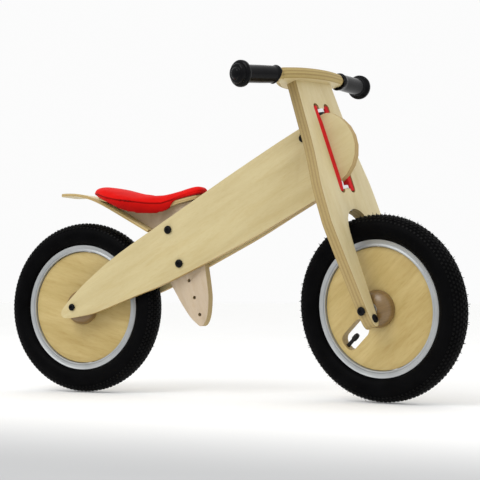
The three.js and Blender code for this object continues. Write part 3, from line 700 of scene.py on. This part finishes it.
def mouldHairs(count):
    # thin spikes of rubber left by the mould, on the shoulders and across the tread
    made = []
    for number in range(count):
        placeShare, lengthShare, splayShare = [(number * step) % 1 for step in hairs["steps"]]
        around = 2 * math.pi * placeShare
        across, radius, lean = knobRows[number % len(knobRows)]
        if lean < hairs["floorLean"] and abs(around - math.pi) < hairs["floorGap"]:
            continue   # none where the wheel stands on the floor
        sign = 1 if number % 2 else -1
        length = hairs["shortest"] + (hairs["longest"] - hairs["shortest"]) * lengthShare
        clearSelection()
        bpy.ops.mesh.primitive_cone_add(vertices=4, radius1=hairs["base"] * mm, radius2=hairs["tip"] * mm,
                                        depth=length * mm, location=(0, 0, length / 2 * mm))
        hair = bpy.context.object
        bpy.ops.object.transform_apply(location=True, rotation=True, scale=True)
        outward = Matrix.Translation((0, sign * across * mm, (radius - hairs["root"]) * mm))
        lying = Matrix.Rotation(math.radians(-sign * lean * hairs["lean"]), 4, "X")
        splayed = Matrix.Rotation(math.radians(hairs["splay"] * (splayShare - 0.5)), 4, "Y")
        hair.data.transform(Matrix.Rotation(around, 4, "Y") @ outward @ lying @ splayed)
        made.append(hair)
    return joinInto(made[0], made[1:])


for end, place in wheelPlaces.items():
    inner = tyre["inner"]
    profile = tyre["half"] + [(r, -a) for r, a in reversed(tyre["half"][:-1])]
    profile += [(r, -a) for r, a in reversed(inner[1:])] + inner
    casing = turned(end + "Tyre", profile, Matrix.Identity(4), 128)
    smooth(casing, 50)
    casing.data.materials.append(tyreRubber)
    tread = [treadBlocks(), mouldHairs(hairs["count"][end])]
    # the lighter rubber on the knobs and hairs is a painted highlight
    for part in tread:
        part.data.materials.append(litTreadRubber)
    joinInto(casing, tread)
    casing.data.transform(place)
    seat(casing, end + "_wheel", [end + "_tyre"])
print("tyres done")

# rims, hubs and valve caps: lathe profiles round the axle, the caps round their own outward line
rim = {"half": [(98.8, 11.6), (99.2, 12.7), (100.2, 13), (101.4, 12.7), (102.0, 11.9), (103.4, 11.6),
                (107.8, 11.9), (109.0, 12.8), (109.7, 12.9), (110, 12.2), (110, 10.95), (101, 10.8)]}
hub = {"profile": [(13.3, 8.8), (29.6, 8.8), (30.3, 9.4), (30.5, 11.4), (30.2, 14.4), (29.2, 17.6),
                   (27.4, 20.6), (24.8, 23.3), (21.4, 25.6), (17.4, 27.3), (13, 28.6), (10, 29.2),
                   (8.2, 29.5), (6.9, 29.3), (6.5, 28.8), (6.5, 17.4), (13.3, 17.4)]}
cap = {"angle": {"front": 205, "rear": 35},
       "profile": [(0, 61.9), (2.9, 62.1), (3.6, 62.7), (3.7, 64.8), (4.4, 65.4), (4.5, 66), (4.5, 73.2),
                   (4.1, 74), (3.6, 74), (3.5, 71.8), (0, 71.7)]}
quarterTurn = Matrix.Rotation(math.radians(-90), 4, "Z")
for end, place in wheelPlaces.items():
    body = end + "_wheel"
    hoop = turned(end + "Rim", mirrored(rim["half"]), place, 128)
    hoop.data.materials.append(rimMetal)
    smooth(hoop, 50)
    seat(hoop, body, [end + "_rim"])
    for side, sign in sides.items():
        dome = turned(end + "Hub" + side.title(), [(r, a * sign) for r, a in hub["profile"]], place, 96)
        dome.data.materials.append(hubWoods[end])
        smooth(dome, 40)
        seat(dome, body, ["%s_hub_%s" % (end, side)])
        dressCad("%s_bearing_%s" % (end, side), zincMetal)
    outward = place @ Matrix.Rotation(math.radians(-cap["angle"][end]), 4, "Y") @ quarterTurn
    valveCap = turned(end + "ValveCap", cap["profile"], outward, 32)
    valveCap.data.materials.append(capPlastic)
    smooth(valveCap, 40)
    seat(valveCap, body, [end + "_valve_cap"])
    dressCad(end + "_inner_tube", capPlastic)
print("wheels done")

# bolts and sleeve nuts with black domed heads and a hex socket; the dome is (share of head radius, height)
bolt = {"height": 3, "socket": 2.7, "depth": 1.7, "sleeveFloor": 2.5,
        "dome": [(0, 3), (0.46, 2.95), (0.74, 2.5), (0.9, 1.9), (0.985, 1.2), (1, 0.5), (0.97, 0)],
        "head": 7, "shank": 2.8, "sleeve": 4, "bore": 3.1, "rearHead": 6, "axle": 5,
        "frontHeadAt": 59.4, "frontShank": 110.5, "frontNutShank": 7, "legScrew": (9.3, 43, -16),
        "legShank": 14.3}


def boltAt(name, cadName, place, headRadius, shank, length, body, bore=0):
    # the head stands on the place's +Y side, the shank goes the other way
    dome = [(headRadius * share, up) for share, up in bolt["dome"]]
    blind = -bolt["sleeveFloor"]
    hollow = [(shank, 0), (shank, -length), (bore, -length), (bore, blind), (0, blind)]
    solid = [(shank, 0), (shank, -length), (0, -length)]
    made = turned(name, dome + (hollow if bore else solid), Matrix.Identity(4), 48)
    clearSelection()
    bpy.ops.mesh.primitive_cylinder_add(vertices=6, radius=bolt["socket"] * mm, depth=2 * bolt["depth"] * mm,
                                        location=(0, bolt["height"] * mm, 0), rotation=(math.pi / 2, 0, 0))
    socket = bpy.context.object
    applyModifier(made, "BOOLEAN", operation="DIFFERENCE", object=socket)
    bpy.data.objects.remove(socket)
    made.data.transform(place)
    made.data.materials.append(blackMetal)
    smooth(made, 35)
    seat(made, body, [cadName])


def underHead(box):
    # a bolt's or nut's length below its head, from its box across the bike
    low, high = box
    return (high[1] - low[1]) / mm - bolt["height"]


def atY(y):
    return Matrix.Translation((0, y, 0))


headHeight = bolt["height"] * mm
for name, stem in (("headUpper", "head_upper"), ("headLower", "head_lower"), ("seatUpper", "seat_upper"),
                   ("seatLower", "seat_lower")):
    low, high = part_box(stem + "_bolt")
    middle = Matrix.Translation(((low[0] + high[0]) / 2, 0, (low[2] + high[2]) / 2))
    boltAt(name + "Bolt", stem + "_bolt", middle @ atY(low[1] + headHeight) @ halfTurn, bolt["head"],
           bolt["shank"], underHead((low, high)), "frame")
    low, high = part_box(stem + "_nut")
    boltAt(name + "Nut", stem + "_nut", middle @ atY(high[1] - headHeight), bolt["head"], bolt["sleeve"],
           underHead((low, high)), "frame", bolt["bore"])

low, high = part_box("rear_axle")
boltAt("rearAxle", "rear_axle", rearPlace @ atY(low[1] + headHeight) @ halfTurn, bolt["rearHead"],
       bolt["axle"], underHead((low, high)), "frame")
low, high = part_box("rear_axle_nut")
boltAt("rearAxleNut", "rear_axle_nut", rearPlace @ atY(high[1] - headHeight), bolt["rearHead"], bolt["axle"],
       underHead((low, high)), "frame")
frontHead = bolt["frontHeadAt"] * mm
boltAt("frontAxle", "front_axle", forkPlace @ atY(-frontHead) @ halfTurn, bolt["head"], bolt["axle"],
       bolt["frontShank"], "fork")
boltAt("frontAxleNut", "front_axle_nut", forkPlace @ atY(frontHead), bolt["head"], bolt["axle"],
       bolt["frontNutShank"], "fork")
for side, sign in sides.items():
    x, y, z = bolt["legScrew"]
    legFace = forkPlace @ Matrix.Translation((x * mm, sign * y * mm, z * mm)) @ quarterTurn
    boltAt("legScrew" + side.title(), "leg_screw_" + side, legFace, bolt["head"], bolt["shank"],
           bolt["legShank"], "fork")

for name in ("rear_spacer_left", "rear_spacer_right", "front_washer_left", "front_washer_right",
             "pivot_bolt_upper", "pivot_bolt_lower", "pivot_bearing_upper", "pivot_bearing_lower",
             "mudguard_screw_1", "mudguard_screw_2", "saddle_screw_1", "saddle_screw_2"):
    dressCad(name, zincMetal)
for side in sides:
    dressCad("front_spacer_" + side, capPlastic)

washer = {"bore": 4.3, "radius": 9, "from": 329.8, "to": 333.4}
washerLine = [(washer["bore"], washer["from"]), (washer["radius"], washer["from"]),
              (washer["radius"], washer["to"]), (washer["bore"], washer["to"])]
pivotWasher = turned("pivotWasher", washerLine, forkPlace @ Matrix.Rotation(math.radians(90), 4, "X"), 48)
pivotWasher.data.materials.append(capPlastic)
smooth(pivotWasher)
seat(pivotWasher, "fork", [])
print("fasteners done")

# red pads: they fill the steering window between its walls and the panels, and thin out by the bearings
pad = {"wall": 21.7, "panel": 9.35, "bottom": 197, "top": 345.5, "depth": 15.6, "rounding": 1.2,
       "bearings": (209, 327), "clear": 10.4, "hold": (11.9, 20.8), "holdHeight": 270}
wallSlope = math.tan(-steerAtRest)
panelInset = pad["panel"] / math.cos(steerAtRest)
for side, sign in sides.items():
    clearSelection()
    bpy.ops.mesh.primitive_cube_add(size=1)
    foam = bpy.context.object
    foam.name = "pad" + side.title()
    for vertex in foam.data.vertices:
        vertex.co = (vertex.co.x * pad["depth"], pad["wall"] if vertex.co.y > 0 else 0,
                     pad["top"] if vertex.co.z > 0 else pad["bottom"])
    bpy.ops.object.mode_set(mode="EDIT")
    bpy.ops.mesh.select_all(action="SELECT")
    bpy.ops.mesh.subdivide(number_cuts=9)
    bpy.ops.object.mode_set(mode="OBJECT")
    lowest, highest = pad["bearings"]
    for vertex in foam.data.vertices:
        share = vertex.co.y / pad["wall"]
        inner = panelInset + sign * vertex.co.x * wallSlope
        if vertex.co.z > highest or vertex.co.z < lowest:
            inner = max(inner, pad["clear"])
        vertex.co.y = (inner + (pad["wall"] - inner) * share) * sign
    if sign < 0:
        turnFacesOut(foam)
    foam.data.transform(Matrix.Scale(mm, 4))
    roundEdges(foam, pad["rounding"], 3, 60)
    foam.data.transform(forkPlace)
    foam.data.materials.append(padFoam)
    smooth(foam, 60)
    heldAt, movedAt = [forkPlace @ Vector((0, sign * y * mm, pad["holdHeight"] * mm)) for y in pad["hold"]]
    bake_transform(foam)
    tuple(heldAt)
    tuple(movedAt)
    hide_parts("bumper_" + side)
print("pads done")

# saddle cover: foam and cloth, puffed out over the shell by a short cloth run
cover = {"voxel": 2.7, "band": 4, "crown": 7.0, "crownFrom": 0.4, "tuck": 0.13, "tuckDepth": 18,
         "dip": 148, "rise": 2.6, "riseFrom": 50, "riseOver": 35, "sag": 3.0, "sagBehind": 30, "sagWidth": 32,
         "easeIn": 10, "shrink": 0.8, "pressure": 4.0, "stiffness": 15, "quality": 6, "frames": 20,
         "most": 2.0, "seamWidth": 1.3, "seamDepth": 1.5, "sewnTo": 186, "sewnEnd": 6, "shade": 20,
         "seam": [(56, 345), (79, 337.6), (99, 333.6), (119, 331.2), (147, 327.6), (166, 327.6), (184, 333),
                  (202, 339.5), (232, 347)]}
cushion = copyOf("saddle_cover", "saddleCover")
applyModifier(cushion, "REMESH", mode="VOXEL", voxel_size=cover["voxel"] * mm)
applyModifier(cushion, "SMOOTH", factor=0.5, iterations=8)


def overSeam(spot):
    # how far a place stands over the sewn seam along the cushion's side, in metres
    return spot.z - lineAt(cover["seam"], alongBike(spot.x)) * mm


def bandOf(spot):
    # which narrow slice along the bike a place is in
    return round(spot.x / (cover["band"] * mm))


def clamped(value):
    return min(max(value, 0), 1)


# the top is crowned towards its sides, and the skirt below the seam pulls in under the shell
widest = {}
for vertex in cushion.data.vertices:
    band = bandOf(vertex.co)
    widest[band] = max(widest.get(band, 0), abs(vertex.co.y))
for vertex in cushion.data.vertices:
    share = abs(vertex.co.y) / widest[bandOf(vertex.co)]
    above = overSeam(vertex.co) / mm
    fromDip = alongBike(vertex.co.x) - cover["dip"]
    if above > 0:
        lift = cover["rise"] * clamped((abs(fromDip) - cover["riseFrom"]) / cover["riseOver"])
        lift -= cover["crown"] * max(0, (share - cover["crownFrom"]) / (1 - cover["crownFrom"])) ** 2
        lift -= cover["sag"] * math.exp(-((fromDip + cover["sagBehind"]) / cover["sagWidth"]) ** 2)
        vertex.co.z += lift * mm * min(above / cover["easeIn"], 1)
    else:
        vertex.co.y *= 1 - cover["tuck"] * min(-above / cover["tuckDepth"], 1) ** 1.4
applyModifier(cushion, "SMOOTH", factor=0.5, iterations=4)
start = [vertex.co.copy() for vertex in cushion.data.vertices]
# the underside and the skirt hold still, and the top starts a little shrunk
held = cushion.vertex_groups.new(name="held")
for vertex in cushion.data.vertices:
    hold = 1.0 if vertex.normal.z < 0.05 else max(0.0, 1 - vertex.normal.z * 4)
    held.add([vertex.index], hold, "REPLACE")
    if hold < 0.5:
        vertex.co -= vertex.normal * cover["shrink"] * mm
pick(cushion)
bpy.ops.object.modifier_add(type="CLOTH")
cloth = cushion.modifiers[-1]
cloth.settings.use_pressure = True
cloth.settings.uniform_pressure_force = cover["pressure"]
cloth.settings.effector_weights.gravity = 0
cloth.settings.vertex_group_mass = "held"
cloth.settings.tension_stiffness = cover["stiffness"]
cloth.settings.quality = cover["quality"]
scene = bpy.context.scene
for number in range(1, cover["frames"] + 1):
    scene.frame_set(number)
bpy.ops.object.modifier_apply(modifier=cloth.name)
scene.frame_set(1)
for vertex, first in zip(cushion.data.vertices, start):
    moved = vertex.co - first
    if moved.length > cover["most"] * mm:
        vertex.co = first + moved.normalized() * cover["most"] * mm
cushion.vertex_groups.clear()
applyModifier(cushion, "SMOOTH", factor=0.5, iterations=3)
applyModifier(cushion, "SUBSURF", levels=1, render_levels=1)
# painted shade: one attribute darkens the cloth below the seam, the other darkens the seam's crease, which is
# also pressed in
skirtShade = cushion.data.attributes.new("skirtShade", "FLOAT", "POINT")
seamShade = cushion.data.attributes.new("seamShade", "FLOAT", "POINT")
for number, vertex in enumerate(cushion.data.vertices):
    below = -overSeam(vertex.co) / mm
    skirtShade.data[number].value = clamped(below / cover["shade"])
    if math.hypot(vertex.normal.x, vertex.normal.y) > 0.5:
        pull = math.exp(-(below / cover["seamWidth"]) ** 2)
        past = alongBike(vertex.co.x) - cover["sewnTo"]
        seamShade.data[number].value = pull * clamped(1 - past / cover["sewnEnd"])
        vertex.co -= vertex.normal * cover["seamDepth"] * mm * pull
cushion.data.materials.append(redCloth)
smooth(cushion, 60)
seat(cushion, "frame", ["saddle_cover"])
print("saddle done")

# floor, light, camera; lengths here are in metres
studio = {"floor": 60, "shadeFrom": -0.85, "shadeTo": -0.25, "shade": (0.44, 0.445, 0.45),
          "paper": (0.94, 0.94, 0.93), "grain": 3.0, "glow": 0.08,
          "horizon": 0.66, "overhead": 1.0, "overheadFrom": 0.75, "wall": 0.97, "wallEdge": (0.55, 0.8),
          "key": 30, "keyPlace": (-0.6, -2.2, 2.2), "fill": 2, "fillPlace": (2.4, -1.2, 1.2),
          "lampSize": 1.6, "aim": (0, 0, 0.3)}
clearSelection()
bpy.ops.mesh.primitive_plane_add(size=studio["floor"], location=(0, 0, 0))
floor = bpy.context.object
floor.name = "studioFloor"
floorMaterial, floorTree, floorShader = newMaterial("floorPaper")
floorCoords = localCoords(floorTree)
floorSplit = node(floorTree, "ShaderNodeSeparateXYZ")
link(floorTree, floorCoords, floorSplit.inputs[0])
floorNear = node(floorTree, "ShaderNodeMapRange")   # painted shade: the paper gets darker a little in front of the bike
floorNear.inputs["From Min"].default_value = studio["shadeFrom"]
floorNear.inputs["From Max"].default_value = studio["shadeTo"]
link(floorTree, floorSplit.outputs["Y"], floorNear.inputs["Value"])
floorPaintedShade = ramp(floorTree, floorNear.outputs["Result"],
                 [(0.0, studio["shade"]), (1.0, studio["paper"])], "EASE")
floorGrain = ramp(floorTree, noise(floorTree, floorCoords, studio["grain"]),
                  [(0.3, (0.97, 0.97, 0.97)), (0.7, (1, 1, 1))])
link(floorTree, mix(floorTree, 1.0, floorPaintedShade, floorGrain, "MULTIPLY"), floorShader.inputs["Base Color"])
floorShader.inputs["Roughness"].default_value = 0.9
floorShader.inputs["Specular IOR Level"].default_value = 0.1
floorShader.inputs["Emission Color"].default_value = (1, 1, 1, 1)
floorShader.inputs["Emission Strength"].default_value = studio["glow"]
floor.data.materials.append(floorMaterial)

# soft light from above, dimmer near the horizon, with a white paper wall behind the bike
world = bpy.data.worlds.new("studioWorld")
bpy.context.scene.world = world
world.use_nodes = True
worldTree = world.node_tree
worldCoords = node(worldTree, "ShaderNodeTexCoord")
worldSplit = node(worldTree, "ShaderNodeSeparateXYZ")
link(worldTree, worldCoords.outputs["Generated"], worldSplit.inputs[0])
sky = ramp(worldTree, worldSplit.outputs["Z"],
           [(0.0, (studio["horizon"],)), (studio["overheadFrom"], (studio["overhead"],))])
wall = node(worldTree, "ShaderNodeMapRange", interpolation_type="SMOOTHSTEP")
wall.inputs["From Min"].default_value, wall.inputs["From Max"].default_value = studio["wallEdge"]
link(worldTree, worldSplit.outputs["Y"], wall.inputs["Value"])
background = worldTree.nodes["Background"]
lit = mix(worldTree, wall.outputs["Result"], sky, (studio["wall"],) * 3)
link(worldTree, lit, background.inputs["Color"])
background.inputs["Strength"].default_value = 1.0


def softLight(name, energy, place):
    bpy.ops.object.light_add(type="AREA", location=place)
    lamp = bpy.context.object
    lamp.name = name
    lamp.data.energy = energy
    lamp.data.size = studio["lampSize"]
    toBike = Vector(studio["aim"]) - Vector(place)
    lamp.rotation_euler = toBike.to_track_quat("-Z", "Y").to_euler()


softLight("keyLight", studio["key"], studio["keyPlace"])
softLight("fillLight", studio["fill"], studio["fillPlace"])

cameraView = {"place": (0.9155, -1.855, 0.168), "yaw": 25.54, "pitch": 2.66, "lens": 92.0}
yaw = math.radians(cameraView["yaw"])
pitch = math.radians(cameraView["pitch"])
bpy.ops.object.camera_add(location=cameraView["place"])
camera = bpy.context.object
camera.name = "studioCamera"
looking = Vector((-math.sin(yaw) * math.cos(pitch), math.cos(yaw) * math.cos(pitch), math.sin(pitch)))
camera.rotation_euler = looking.to_track_quat("-Z", "Y").to_euler()
camera.data.sensor_width = 36
camera.data.lens = cameraView["lens"]
camera.data.clip_end = 200
bpy.context.scene.camera = camera
bpy.context.scene.view_settings.view_transform = "Standard"
bpy.context.scene.view_settings.look = "None"

print("scene ready")
